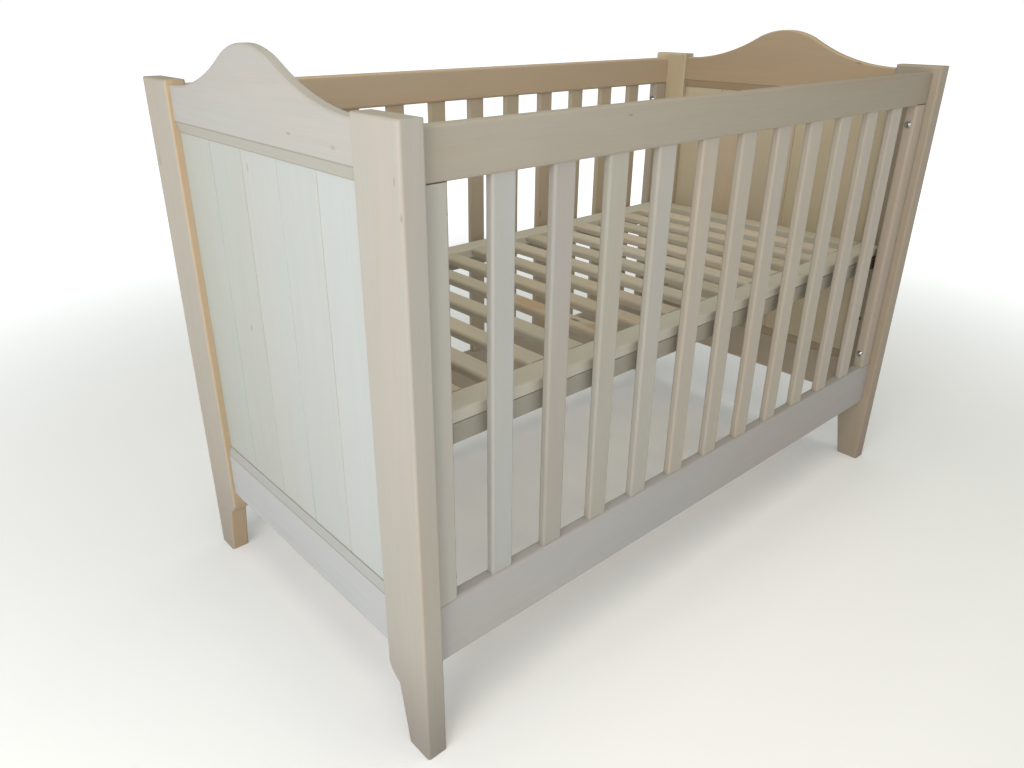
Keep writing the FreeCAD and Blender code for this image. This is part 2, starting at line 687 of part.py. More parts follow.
def make_base_end(label, x_sign):
    """An end rail of the mattress base, tenoned between the long rails."""
    low_x = f"-{BASE_LONG} / 2" if x_sign < 0 else f"{BASE_LONG} / 2 - {{base_end_wide}}"
    body = new_body(label, low_x, "0", BASE_UNDER)
    sketch = new_sketch(body, "XZ_Plane")
    draw_outline(sketch, eased_rectangle("0", "{base_end_wide}", "0", "{base_thick}", "{base_ease}"))
    pad(body, sketch, RIB_CLEAR, symmetric=True)
    for low in (f"-{RIB_CLEAR} / 2 - {{base_tenon_long}}", f"{RIB_CLEAR} / 2"):
        box(body,
            ("{base_end_wide} / 2 - {base_tenon_wide} / 2", low, "{base_thick} / 2 - {base_tenon_thick} / 2"),
            ("{base_tenon_wide}", "{base_tenon_long}", "{base_tenon_thick}"))


def make_batten(label, y_sign):
    """The stiffening batten screwed under a long rail of the base."""
    low_y = f"-{BASE_HALF_WIDE}" if y_sign < 0 else f"{BASE_HALF_WIDE} - {{batten_wide}}"
    body = new_body(label, "0", low_y, f"{BASE_UNDER} - {{batten_tall}}")
    sketch = new_sketch(body, "YZ_Plane")
    draw_outline(sketch, eased_rectangle("0", "{batten_wide}", "0", "{batten_tall}", "{batten_ease}"))
    pad(body, sketch, "2 * {batten_reach}", symmetric=True)
    start = ("-({screw_count} - 1) / 2 * {screw_spacing}", "{batten_wide} / 2")
    shank = cylinder(body, (*start, "1"), "{screw_across} + 2 * {mortise_slack}", "{batten_tall}")
    sink = cylinder(body, (*start, "-1"),
                    "{screw_head} + 2 * {mortise_slack}", "{screw_head_tall} + 1.3")
    row_of(body, "X_Axis", "{screw_spacing}", "{screw_count}", [shank, sink])


def make_base_ribs():
    """The cross slats of the mattress base: rounded above, tongued into the long rails."""
    body = new_body("base_slats", FIRST_RIB, "0", "{base_top} - {rib_thick}")
    body.AllowCompound = True
    sketch = new_sketch(body, "XZ_Plane")
    draw_outline(sketch, [
        ("1", "0", None),
        ("{rib_wide} - 1", "0", "1"),
        ("{rib_wide}", "1", None),
        ("{rib_wide}", "{rib_thick} - {rib_ease}", "{rib_ease}"),
        ("{rib_wide} - {rib_ease}", "{rib_thick}", None),
        ("{rib_ease}", "{rib_thick}", "{rib_ease}"),
        ("0", "{rib_thick} - {rib_ease}", None),
        ("0", "1", "1"),
    ])
    pad(body, sketch, RIB_CLEAR, symmetric=True)
    for low in (f"-{RIB_CLEAR} / 2 - {{rib_tongue_long}}", f"{RIB_CLEAR} / 2"):
        box(body,
            ("{rib_wide} / 2 - {rib_tongue_wide} / 2", low, "{rib_thick} / 2 - {rib_tongue_thick} / 2"),
            ("{rib_tongue_wide}", "{rib_tongue_long}", "{rib_tongue_thick}"))
    row_of(body, "X_Axis", "{rib_pitch}", "{rib_count}")


def make_base_screws():
    """Flat-headed screws driven up through the battens into the long rails."""
    body = new_body("base_screws")
    body.AllowCompound = True
    start = ("-({screw_count} - 1) / 2 * {screw_spacing}", f"-{BASE_HALF_WIDE} + {{batten_wide}} / 2")
    head_level = f"{BASE_UNDER} - {{batten_tall}} + 0.2"
    cylinder(body, (*start, head_level), "{screw_head}", "{screw_head_tall}", cut=False)
    cylinder(body, (*start, f"{head_level} + {{screw_head_tall}} / 2"), "{screw_across}",
             "{screw_long} - {screw_head_tall} / 2", cut=False)
    row_of(body, "X_Axis", "{screw_spacing}", "{screw_count}")
    mirror_whole(body, "XZ_Plane")


ENDS = {"left": -1, "right": 1}
SIDES = {"front": -1, "back": 1}

for end, x_sign in ENDS.items():
    for side, y_sign in SIDES.items():
        make_post(f"post_{end}_{side}", x_sign, y_sign)
        make_stile(f"stile_{end}_{side}", x_sign, y_sign)
    make_arch_rail(f"arch_rail_{end}", x_sign)
    make_end_rail(f"end_rail_{end}", x_sign)
    make_base_end(f"base_end_{end}", x_sign)
    for place in range(int(number("{board_count}"))):
        make_board(f"board_{end}_{place + 1}", x_sign, place)

for side, y_sign in SIDES.items():
    make_side_rail(f"side_top_rail_{side}", y_sign, "{top_rail_under}", "{top_rail_tall}", "-1")
    make_side_rail(f"side_low_rail_{side}", y_sign, "{rail_under}", "{low_rail_tall}",
                   "{low_rail_tall} - {slat_bite}")
    make_base_rail(f"base_rail_{side}", y_sign)
    make_batten(f"base_batten_{side}", y_sign)
    for place in range(int(number("{slat_count}"))):
        make_slat(f"slat_{side}_{place + 1:02d}", y_sign, place)

make_base_ribs()
make_side_bolts()
make_threaded_inserts()
make_brackets()
make_bracket_bolts()
make_base_screws()

doc.recompute()
faulty = [item.Name for item in doc.Objects if {"Invalid", "Error"} & set(item.State)]
faulty += [body.Label for body in parts if body.Shape.isNull() or not body.Shape.isValid()]
if faulty:
    raise RuntimeError("these objects failed: " + ", ".join(faulty))

os.makedirs("parts", exist_ok=True)
for body in parts:
    body.Shape.exportStep(os.path.join("parts", body.Label + ".step"))
print(len(parts), "parts written")
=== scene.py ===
import json
import math
import random

import bpy
from mathutils import Euler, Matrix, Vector


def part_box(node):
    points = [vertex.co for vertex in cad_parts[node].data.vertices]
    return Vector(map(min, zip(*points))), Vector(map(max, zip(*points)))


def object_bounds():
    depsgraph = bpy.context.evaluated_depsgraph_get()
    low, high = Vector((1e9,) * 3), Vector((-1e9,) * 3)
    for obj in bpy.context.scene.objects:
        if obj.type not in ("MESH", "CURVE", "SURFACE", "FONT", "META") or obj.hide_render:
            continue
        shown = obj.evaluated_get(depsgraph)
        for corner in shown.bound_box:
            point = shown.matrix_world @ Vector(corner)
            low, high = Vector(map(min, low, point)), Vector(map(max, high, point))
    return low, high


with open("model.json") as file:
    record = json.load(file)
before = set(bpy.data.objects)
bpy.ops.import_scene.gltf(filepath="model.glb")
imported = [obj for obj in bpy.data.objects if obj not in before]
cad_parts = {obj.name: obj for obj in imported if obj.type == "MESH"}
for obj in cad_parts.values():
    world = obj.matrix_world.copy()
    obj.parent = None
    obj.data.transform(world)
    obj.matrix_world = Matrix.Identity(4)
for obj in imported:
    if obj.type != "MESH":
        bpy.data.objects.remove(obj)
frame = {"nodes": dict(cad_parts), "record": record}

CAD_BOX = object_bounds()
SCENE = bpy.context.scene
RECORD = frame["record"]
SLOTS = {entry["node"]: entry["material_slot"] for entry in RECORD["subparts"]}


# ---------------------------------------------------------------- node tree helpers

def add(tree, kind, inputs=None, **settings):
    """A new shader node, with its settings, and its inputs linked or filled in."""
    node = tree.nodes.new(kind)
    for name, value in settings.items():
        setattr(node, name, value)
    for key, value in (inputs or {}).items():
        if isinstance(value, bpy.types.NodeSocket):
            tree.links.new(value, node.inputs[key])
        else:
            node.inputs[key].default_value = value
    return node


def calc(tree, operation, *values):
    return add(tree, "ShaderNodeMath", dict(enumerate(values)), operation=operation).outputs[0]


def times(tree, product, *factors):
    for factor in factors:
        product = calc(tree, "MULTIPLY", product, factor)
    return product


def ramp(tree, value, low, high, to_low=0.0, to_high=1.0):
    """value taken smoothly from low..high to to_low..to_high."""
    node = add(tree, "ShaderNodeMapRange", {0: value, 1: low, 2: high, 3: to_low, 4: to_high},
               interpolation_type="SMOOTHSTEP")
    return node.outputs[0]


def fade(tree, distance, full, gone, most=1.0):
    """most up to the distance full, then less and less, and nothing from the distance gone."""
    return ramp(tree, distance, full, gone, most, 0.0)


def noise(tree, vector, scale, detail=2.0, rough=0.5):
    node = add(tree, "ShaderNodeTexNoise",
               {"Vector": vector, "Scale": scale, "Detail": detail, "Roughness": rough})
    return node.outputs["Fac"]


def stretch(tree, vector, factors):
    return add(tree, "ShaderNodeVectorMath", {0: vector, 1: factors}, operation="MULTIPLY").outputs[0]


def length(tree, vector):
    return add(tree, "ShaderNodeVectorMath", {0: vector}, operation="LENGTH").outputs["Value"]


def xyz(tree, x, y, z):
    return add(tree, "ShaderNodeCombineXYZ", {0: x, 1: y, 2: z}).outputs[0]


def rgba(colour):
    return (*colour, 1.0)


def blend_colour(tree, amount, first, second, how="MIX"):
    node = add(tree, "ShaderNodeMix", {0: amount, 6: first, 7: second}, data_type="RGBA", blend_type=how)
    return node.outputs[2]


def wash(tree, amount, colour, glaze):
    """colour seen through so much of a thin layer of glaze."""
    return blend_colour(tree, amount, colour, rgba(glaze), "MULTIPLY")


def start_material(name):
    material = bpy.data.materials.new(name)
    material.use_nodes = True
    tree = material.node_tree
    tree.nodes.clear()
    shader = tree.nodes.new("ShaderNodeBsdfPrincipled")
    output = tree.nodes.new("ShaderNodeOutputMaterial")
    tree.links.new(shader.outputs[0], output.inputs["Surface"])
    return material, tree, shader


def give(node_name, material):
    mesh = frame["nodes"][node_name].data
    mesh.materials.clear()
    mesh.materials.append(material)


# ---------------------------------------------------------------- timber

AXES = "XYZ"

# A face of a piece: the axis that it looks along, and its end of the piece's box, 0 low and 1 high.
LEFT, FRONT, TOP = (0, 0), (1, 0), (2, 1)

# Washes and colours of the wood, of what lies on it, and of painted shade.
PINK = (1.05, 0.965, 0.93)
CREAM = (1.03, 0.985, 0.90)
COOL = (0.955, 1.01, 1.03)
PEACH = (1.10, 0.93, 0.74)
FLECK = (0.62, 0.50, 0.38)
KNOT_HALO = (0.95, 0.78, 0.58)
BARK = (0.34, 0.22, 0.13)
# dust and painted shade in joints, bevels and creases
SEAM_DUST_AND_SHADE = (0.70, 0.68, 0.58)
# painted shade on the feet, darker towards the floor
FOOT_SHADE = (0.70, 0.66, 0.66)
END_LIGHT, END_DARK = (0.93, 0.88, 0.80), (0.82, 0.73, 0.60)
SPECK = (0.20, 0.17, 0.13)

# The noise fields of a block: stretch along the grain, scale, detail, roughness.
FIELDS = {
    "bend": (0.32, 5.0, 1.5, 0.5),
    "pinker": (0.055, 24.0, 2.0, 0.5),
    "creamier": (0.09, 11.0, 1.0, 0.5),
    "cloud": (0.35, 6.0, 2.0, 0.5),
    "fibre": (0.018, 900.0, 2.0, 0.6),
    "pores": (0.06, 520.0, 1.0, 0.5),
    "patches": (0.12, 30.0, 1.0, 0.5),
}
# Which fields tinge the wood, over what part of their range, and with what.
TINGES = (("pinker", 0.44, 0.66, PINK), ("creamier", 0.45, 0.70, CREAM), ("cloud", 0.46, 0.72, COOL))
# Which fields streak it, over what part of their range, and how much lighter and darker.
STREAKS = (("ring", 0.25, 0.78, 0.030, 0.075), ("fibre", 0.30, 0.75, 0.022, 0.050))

# Where a piece was cut from its trunk: how far to one side the pith may lie, as a share of the piece's
# width, how far behind it, and how far along the trunk, in metres.
PITH_ASIDE = 0.6
PITH_BEHIND = (0.035, 0.12)
PITH_SLIDE = 40

# The growth rings: how far they stray from round, in metres, how little they change along the grain, and
# the scale, detail and roughness of their noise, on the faces and on sawn ends.
RING_SWAY = 0.030
RING_DRAW = 0.02
RINGS = (190.0, 2.5, 0.6)
END_RINGS = (420.0, 1.0)
CLOUD_SHADES = (0.985, 1.012)
BLUE_LOSS = 1.35            # darker wood loses its blue faster
RIB_PITCH = 0.0777          # from one cross slat of the base to the next

# Knots: the cells of their pattern in a metre, the share of cells that hold one, and their sizes in cells.
KNOT_CELLS = 9.0
KNOT_SHARE = 0.03
KNOT_SIZES = (0.018, 0.055)
KNOT_STRETCH = 0.45
KNOT_SLIDE = 9
MARK_STRETCH = 0.35

# How strongly each of these covers the bare wood.
FLECK_COVER = 0.30
HALO_COVER = 0.30
KNOT_COVER = 0.72
# painted shade on a rail's bevelled band, and painted shadow in its creases
BEVEL_SHADE_COVER = 0.40
CREASE_SHADOW_COVER = 0.85
END_COVER = 0.60

# Distances in metres up to which an effect is full, and from which it is gone.
EDGE_FADE = (0.0005, 0.0065)
JOINT_FADE = (0.0004, 0.0022)
CREASE_FADE = (0.0004, 0.0018)

BEVEL_LOW, BEVEL_HIGH = 0, 1
BEVEL_RISE = 0.016          # height of a rail's bevelled band
BEVEL_BLUR = 0.0006
FOOT_SHADE_TOP = 0.22            # how high up the feet the painted shade reaches
FOOT_SHADE_WAVER = 0.06
FAR_SHADE_SPAN = (-0.60, 0.62)    # from where to where along the crib the painted shade towards its far end grows

# How squarely a surface has to look one way to count as that face: from hardly to fully.
FACING = (0.55, 0.85)
END_FACING = (0.75, 0.95)

# The grain's relief and gloss.
FIBRE_RELIEF, RING_RELIEF, KNOT_RELIEF = 0.55, 0.45, 0.8
BUMP_STRENGTH, BUMP_HEIGHT = 0.35, 0.00035
ROUGHNESS = (0.52, 0.70)
EDGE_POLISH = 0.10
SHEEN_LEVEL = 0.38


class Timber:
    """What sets one group of timber pieces apart.

    grain is the axis that it runs along, drift how much the tint varies from piece to piece, and spread how
    much it varies between the cross slats of one piece. warm_edge, figure, seam (dust and painted shade in
    the joints) and the painted shade that darkens the feet towards the floor are strengths. bevel is the end
    of the box that has the bevelled band, painted darker as shade. One face may take its own tint, painted
    light and shade that makes it lighter or darker, and a tint of painted shade may grow towards the crib's
    right end.
    """

    def __init__(self, grain, tint, drift=0.0, warm_edge=0.10, figure=0.40, seam=0.0, bevel=None,
                 spread=0.0, foot_shade=0.0, side=None, far_shade=None):
        self.grain = grain
        self.tint = tint
        self.drift = drift
        self.warm_edge = warm_edge
        self.figure = figure
        self.seam = seam
        self.bevel = bevel
        self.spread = spread
        self.foot_shade = foot_shade
        self.side = side
        self.far_shade = far_shade


def board(tint, drift=0.0, figure=0.30, seam=0.6):
    """A panel board: calm figure, edges hardly warmer, and joints darkened with dust and painted shade."""
    return Timber("Z", tint, drift, warm_edge=0.03, figure=figure, seam=seam)


class Spot:
    """A single mark: its face, its place on that face as shares of the box, its radius and its strength."""

    def __init__(self, face, shares, radius, strength, colour=SPECK):
        self.face = face
        self.shares = shares
        self.radius = radius
        self.strength = strength
        self.colour = colour


class Block:
    """The block of wood round one piece. u runs across it, v through it and w along the grain."""

    def __init__(self, tree, node_name, grain, chance):
        self.tree = tree
        self.low, self.high = (Vector(corner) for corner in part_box(node_name))
        self.size = self.high - self.low
        centre = (self.low + self.high) / 2
        self.along = AXES.index(grain)
        self.across = sorted((axis for axis in range(3) if axis != self.along),
                             key=lambda axis: -self.size[axis])

        coordinates = add(tree, "ShaderNodeTexCoord").outputs
        self.place = coordinates["Object"]
        self.normal = add(tree, "ShaderNodeSeparateXYZ", {0: coordinates["Normal"]}).outputs
        self.point = add(tree, "ShaderNodeSeparateXYZ", {0: self.place}).outputs
        self.x, self.z = self.point[0], self.point[2]
        self.u, self.v, self.w = (calc(tree, "SUBTRACT", self.point[axis], centre[axis])
                                  for axis in (*self.across, self.along))

        pith = (chance.uniform(-PITH_ASIDE, PITH_ASIDE) * self.size[self.across[0]],
                chance.uniform(*PITH_BEHIND), chance.uniform(0, PITH_SLIDE))
        self.local = xyz(tree, *(calc(tree, "ADD", value, offset)
                                 for value, offset in zip((self.u, self.v, self.w), pith)))
        self.fields = {name: noise(tree, self.drawn_out(squeeze), scale, detail, rough)
                       for name, (squeeze, scale, detail, rough) in FIELDS.items()}
        sway = times(tree, calc(tree, "SUBTRACT", self.fields["bend"], 0.5), RING_SWAY)
        reach = calc(tree, "ADD", length(tree, self.drawn_out(0.0)), sway)
        self.ring_place = xyz(tree, reach, 0.0, times(tree, self.w, RING_DRAW))
        self.fields["ring"] = noise(tree, self.ring_place, *RINGS)

    def drawn_out(self, squeeze):
        """The place in the block, squeezed along the grain so that a pattern there is drawn out."""
        return stretch(self.tree, self.local, (1.0, 1.0, squeeze))


def bare_wood(block, kind, chance):
    """Pinker, creamier and cooler bands, then rings, fibres and short dark flecks along the grain."""
    tree, fields, figure = block.tree, block.fields, kind.figure
    tint = [part * chance.uniform(1 - kind.drift, 1 + kind.drift) for part in kind.tint]
    lift = chance.uniform(1 - kind.drift, 1 + kind.drift)
    colour = rgba([part * lift for part in tint])
    for name, low, high, glaze in TINGES:
        colour = wash(tree, ramp(tree, fields[name], low, high, 0.0, figure), colour, glaze)

    shade = ramp(tree, fields["cloud"], 0.25, 0.75, *CLOUD_SHADES)
    for name, low, high, lighter, darker in STREAKS:
        streak = ramp(tree, fields[name], low, high, 1.0 + lighter * figure, 1.0 - darker * figure)
        shade = times(tree, shade, streak)
    if kind.spread:
        rib = calc(tree, "FLOOR", calc(tree, "DIVIDE", block.u, RIB_PITCH))
        each = add(tree, "ShaderNodeTexWhiteNoise", {"W": rib}, noise_dimensions="1D").outputs["Value"]
        shade = times(tree, shade, ramp(tree, each, 0.0, 1.0, 1.0 - kind.spread, 1.0 + kind.spread))
    blue = calc(tree, "POWER", shade, BLUE_LOSS)
    grey = add(tree, "ShaderNodeCombineColor", {0: shade, 1: shade, 2: blue}).outputs[0]
    colour = blend_colour(tree, 1.0, colour, grey, "MULTIPLY")
    fleck = ramp(tree, fields["pores"], 0.70, 0.80)
    return wash(tree, times(tree, fleck, FLECK_COVER * figure), colour, FLECK)


def with_knots(block, colour, chance):
    """Small knots: a few cells of a stretched cell pattern hold one. Also says where their cores are."""
    tree = block.tree
    moved = add(tree, "ShaderNodeVectorMath", {0: block.local, 1: (0.0, 0.0, chance.uniform(0, KNOT_SLIDE))},
                operation="ADD").outputs[0]
    cells = add(tree, "ShaderNodeTexVoronoi", {"Vector": stretch(tree, moved, (1.0, 1.0, KNOT_STRETCH)),
                                               "Scale": KNOT_CELLS, "Randomness": 1.0}).outputs
    pick = add(tree, "ShaderNodeSeparateColor", {0: cells["Color"]}).outputs
    has_knot = calc(tree, "LESS_THAN", pick[0], KNOT_SHARE)
    nearness = calc(tree, "DIVIDE", cells["Distance"], ramp(tree, pick[1], 0.0, 1.0, *KNOT_SIZES))
    core = times(tree, fade(tree, nearness, 0.55, 1.0), has_knot)
    halo = times(tree, fade(tree, nearness, 0.6, 3.2), has_knot)
    colour = wash(tree, times(tree, halo, HALO_COVER), colour, KNOT_HALO)
    return blend_colour(tree, times(tree, core, KNOT_COVER), colour, rgba(BARK)), core


def with_spot(block, colour, spot):
    """A ragged mark round a point of one face."""
    tree = block.tree
    axis, end = spot.face
    shares = list(spot.shares)
    shares.insert(axis, end)
    point = [low + share * size for low, share, size in zip(block.low, shares, block.size)]
    offset = add(tree, "ShaderNodeVectorMath", {0: block.place, 1: point}, operation="SUBTRACT").outputs[0]
    squeeze = [1.0, 1.0, 1.0]
    squeeze[block.along] = MARK_STRETCH
    ragged = times(tree, calc(tree, "SUBTRACT", block.fields["fibre"], 0.5), spot.radius)
    gap = calc(tree, "ADD", length(tree, stretch(tree, offset, squeeze)), ragged)
    amount = fade(tree, gap, spot.radius * 0.35, spot.radius, spot.strength)
    return blend_colour(tree, amount, colour, rgba(spot.colour))


def with_edges(block, colour, kind):
    """Long edges warmer than the faces, and dust and painted shade in the joints of boards. Also says where
    the edges are.
    """
    tree = block.tree
    from_side, from_face = (calc(tree, "SUBTRACT", block.size[axis] / 2, calc(tree, "ABSOLUTE", value))
                            for axis, value in zip(block.across, (block.u, block.v)))
    patchy = ramp(tree, block.fields["patches"], 0.35, 0.65, 0.25, 1.0)
    edge = times(tree, fade(tree, calc(tree, "MAXIMUM", from_side, from_face), *EDGE_FADE), patchy)
    colour = wash(tree, times(tree, edge, kind.warm_edge), colour, PEACH)
    # dust and painted shade in the joints between boards
    if kind.seam:
        joint = times(tree, fade(tree, from_side, *JOINT_FADE), patchy)
        colour = wash(tree, times(tree, joint, kind.seam), colour, SEAM_DUST_AND_SHADE)
    return colour, edge


def with_bevel(block, colour, end):
    """A rail's bevelled band, at the low or high end of its box: painted a little darker as shade, with
    painted shadow and a little dust in its creases.
    """
    tree = block.tree
    foot = (block.low.z, block.high.z - BEVEL_RISE)[end]
    head = foot + BEVEL_RISE
    inside = times(tree, ramp(tree, block.z, foot - BEVEL_BLUR, foot + BEVEL_BLUR),
                   fade(tree, block.z, head - BEVEL_BLUR, head + BEVEL_BLUR))
    creases = [fade(tree, calc(tree, "ABSOLUTE", calc(tree, "SUBTRACT", block.z, level)), *CREASE_FADE)
               for level in (foot, head)]
    colour = wash(tree, times(tree, inside, BEVEL_SHADE_COVER), colour, SEAM_DUST_AND_SHADE)
    return wash(tree, times(tree, calc(tree, "MAXIMUM", *creases), CREASE_SHADOW_COVER), colour, SEAM_DUST_AND_SHADE)


def with_face_light_and_shade(block, colour, face, glaze):
    """One face painted lighter or darker and tinted: painted light and shade on that face."""
    axis, end = face
    outward = 1.0 if end else -1.0
    turned = ramp(block.tree, times(block.tree, block.normal[axis], outward), *FACING)
    return wash(block.tree, turned, colour, glaze)


def with_end_grain(block, colour):
    """Sawn ends, darker, showing the rings."""
    tree = block.tree
    end_grain = ramp(tree, calc(tree, "ABSOLUTE", block.normal[block.along]), *END_FACING)
    rings = ramp(tree, noise(tree, block.ring_place, *END_RINGS), 0.35, 0.65)
    end_colour = blend_colour(tree, rings, rgba(END_LIGHT), rgba(END_DARK))
    return blend_colour(tree, times(tree, end_grain, END_COVER), colour, end_colour, "MULTIPLY")


def timber(node_name, kind, spots=()):
    """A sanded, unfinished pale timber, figured as a solid block round the piece's own pith."""
    chance = random.Random("timber " + node_name)
    material, tree, shader = start_material("timber_" + node_name)
    block = Block(tree, node_name, kind.grain, chance)
    fibre, ring, cloud = (block.fields[name] for name in ("fibre", "ring", "cloud"))

    colour = bare_wood(block, kind, chance)
    colour, core = with_knots(block, colour, chance)
    for spot in spots:
        colour = with_spot(block, colour, spot)
    colour, edge = with_edges(block, colour, kind)
    if kind.bevel is not None:
        colour = with_bevel(block, colour, kind.bevel)
    # painted shade: the posts grow darker towards the floor, with a wavering top line
    if kind.foot_shade:
        waver = times(tree, calc(tree, "SUBTRACT", cloud, 0.5), FOOT_SHADE_WAVER)
        foot_shade = fade(tree, calc(tree, "ADD", block.z, waver), 0.0, FOOT_SHADE_TOP, kind.foot_shade)
        colour = wash(tree, foot_shade, colour, FOOT_SHADE)
    # painted shade: darker towards the crib's right end, further from the light
    if kind.far_shade:
        colour = wash(tree, ramp(tree, block.x, *FAR_SHADE_SPAN), colour, kind.far_shade)
    # painted light and shade: one face made lighter or darker and tinted
    if kind.side:
        colour = with_face_light_and_shade(block, colour, *kind.side)
    colour = with_end_grain(block, colour)

    height = calc(tree, "ADD", times(tree, fibre, FIBRE_RELIEF), times(tree, ring, RING_RELIEF))
    height = calc(tree, "SUBTRACT", height, times(tree, core, KNOT_RELIEF))
    bump = add(tree, "ShaderNodeBump",
               {"Strength": BUMP_STRENGTH, "Distance": BUMP_HEIGHT, "Height": height}).outputs[0]
    mottle = calc(tree, "ADD", times(tree, cloud, 0.6), times(tree, fibre, 0.4))
    dull = ramp(tree, mottle, 0.25, 0.75, *ROUGHNESS)
    tree.links.new(colour, shader.inputs["Base Color"])
    tree.links.new(calc(tree, "SUBTRACT", dull, times(tree, edge, EDGE_POLISH)), shader.inputs["Roughness"])
    tree.links.new(bump, shader.inputs["Normal"])
    shader.inputs["Specular IOR Level"].default_value = SHEEN_LEVEL
    give(node_name, material)


# ---------------------------------------------------------------- metal

def metal(name, colour, worn, roughness, metallic, scale=400.0):
    """A metal or painted finish with handling marks; worn is the colour that its rubbed places take."""
    material, tree, shader = start_material(name)
    place = add(tree, "ShaderNodeTexCoord").outputs["Object"]
    grain = noise(tree, place, scale, 3.0, 0.6)
    patch = noise(tree, place, scale * 0.12, 2.0)
    scratch = noise(tree, stretch(tree, place, (0.05, 1.0, 1.0)), scale * 4, 1.0)
    rubbed = times(tree, ramp(tree, patch, 0.52, 0.75), ramp(tree, grain, 0.4, 0.65))
    rubbed = calc(tree, "MAXIMUM", rubbed, ramp(tree, scratch, 0.72, 0.80, 0.0, 0.5))
    tree.links.new(blend_colour(tree, rubbed, rgba(colour), rgba(worn)), shader.inputs["Base Color"])
    tree.links.new(ramp(tree, grain, 0.2, 0.8, roughness * 0.75, roughness * 1.3), shader.inputs["Roughness"])
    bump = add(tree, "ShaderNodeBump", {"Strength": 0.25, "Distance": 0.0001, "Height": grain}).outputs[0]
    tree.links.new(bump, shader.inputs["Normal"])
    shader.inputs["Metallic"].default_value = metallic
    return material


METALS = {
    "bracket_steel": metal("brown_bracket", (0.045, 0.026, 0.013), (0.10, 0.070, 0.045), 0.45, 0.0),
    "bolt_steel": metal("bright_bolt", (0.36, 0.36, 0.35), (0.24, 0.23, 0.21), 0.24, 1.0, 900.0),
    "screw_steel": metal("dull_screw", (0.10, 0.085, 0.07), (0.22, 0.19, 0.16), 0.42, 1.0, 900.0),
    "insert_brass": metal("insert_brass", (0.62, 0.45, 0.19), (0.45, 0.30, 0.12), 0.35, 1.0, 900.0),
}

# ---------------------------------------------------------------- which timber each piece is

# A piece takes the longest of these beginnings that its name has.
# The back side, the right end and the base are tinted warmer than the rest: partly their own tone, partly
# painted warm light that bounces about inside the crib.
KINDS = {
    "post_left": Timber("Z", (0.430, 0.388, 0.345), drift=0.02, foot_shade=0.5),
    "post_left_back": Timber("Z", (0.412, 0.372, 0.312), foot_shade=0.4, side=(FRONT, (1.20, 1.02, 0.80))),
    "post_left_front": Timber("Z", (0.408, 0.378, 0.328), warm_edge=0.20, foot_shade=0.85),
    "post_right": Timber("Z", (0.370, 0.312, 0.240), foot_shade=0.25, side=(FRONT, (0.92, 0.90, 0.90))),
    "post_right_back": Timber("Z", (0.455, 0.395, 0.290), side=(LEFT, (1.20, 1.14, 1.02))),
    "arch_rail_left": Timber("Y", (0.420, 0.405, 0.372), bevel=BEVEL_LOW),
    "arch_rail_right": Timber("Y", (0.440, 0.330, 0.215), bevel=BEVEL_LOW),
    "end_rail_left": Timber("Y", (0.462, 0.460, 0.455), bevel=BEVEL_HIGH),
    "end_rail_right": Timber("Y", (0.440, 0.370, 0.290), bevel=BEVEL_HIGH),
    "board_left": board((0.445, 0.462, 0.440), drift=0.010, seam=0.55),
    "board_left_1": board((0.462, 0.480, 0.462), figure=0.25),
    "board_left_2": board((0.450, 0.468, 0.446), figure=0.25),
    "board_left_4": board((0.432, 0.445, 0.405)),
    "board_left_5": board((0.428, 0.438, 0.392)),
    "board_right": board((0.560, 0.470, 0.335), drift=0.015, seam=0.55),
    "side_top_rail_front": Timber("X", (0.388, 0.345, 0.280), far_shade=(0.82, 0.78, 0.72)),
    "side_low_rail_front": Timber("X", (0.442, 0.435, 0.425), far_shade=(0.88, 0.85, 0.82)),
    "side_top_rail_back": Timber("X", (0.493, 0.385, 0.272)),
    "side_low_rail_back": Timber("X", (0.460, 0.400, 0.320)),
    "stile_left_front": Timber("Z", (0.445, 0.430, 0.382)),
    "stile": Timber("Z", (0.410, 0.355, 0.285), drift=0.02),
    "slat_front": Timber("Z", (0.435, 0.392, 0.325), drift=0.012),
    "slat_front_01": Timber("Z", (0.435, 0.442, 0.418)),
    "slat_front_02": Timber("Z", (0.402, 0.378, 0.340)),
    "slat_front_03": Timber("Z", (0.415, 0.398, 0.342)),
    "slat_front_04": Timber("Z", (0.428, 0.410, 0.365)),
    "slat_back": Timber("Z", (0.465, 0.390, 0.290), drift=0.02),
    "base_rail": Timber("X", (0.535, 0.510, 0.435)),
    "base_batten": Timber("X", (0.345, 0.325, 0.270)),
    "base_end": Timber("Y", (0.500, 0.460, 0.370), drift=0.02),
    "base_slats": Timber("Y", (0.520, 0.475, 0.385), drift=0.02, figure=0.7, spread=0.07),
}

SPOTS = {
    "arch_rail_left": [Spot(LEFT, (0.133, 0.242), 0.0028, 0.35),
                       Spot(LEFT, (0.312, 0.274), 0.0022, 0.55)],
    "board_left_3": [Spot(LEFT, (0.798, 0.946), 0.0028, 0.45)],
    "board_left_4": [Spot(LEFT, (0.401, 0.506), 0.0026, 0.55)],
    "post_left_back": [Spot(LEFT, (0.820, 0.857), 0.0040, 0.45)],
    "post_left_front": [Spot(LEFT, (0.127, 0.9303), 0.0020, 0.50),
                        Spot(LEFT, (0.026, 0.8896), 0.0020, 0.50)],
    "side_top_rail_front": [Spot(FRONT, (0.269, 0.779), 0.0020, 0.50)],
    "arch_rail_right": [Spot(LEFT, (0.188, 0.552), 0.0035, 0.50)],
    "base_slats": [Spot(TOP, (0.314, 0.355), 0.0260, 0.60, (0.40, 0.25, 0.12)),
                   Spot(TOP, (0.314, 0.163), 0.0050, 0.80, (0.12, 0.07, 0.04)),
                   Spot(TOP, (0.314, 0.066), 0.0140, 0.60, (0.36, 0.21, 0.10))],
    "slat_back_08": [Spot(FRONT, (0.232, 0.522), 0.0040, 0.60)],
}

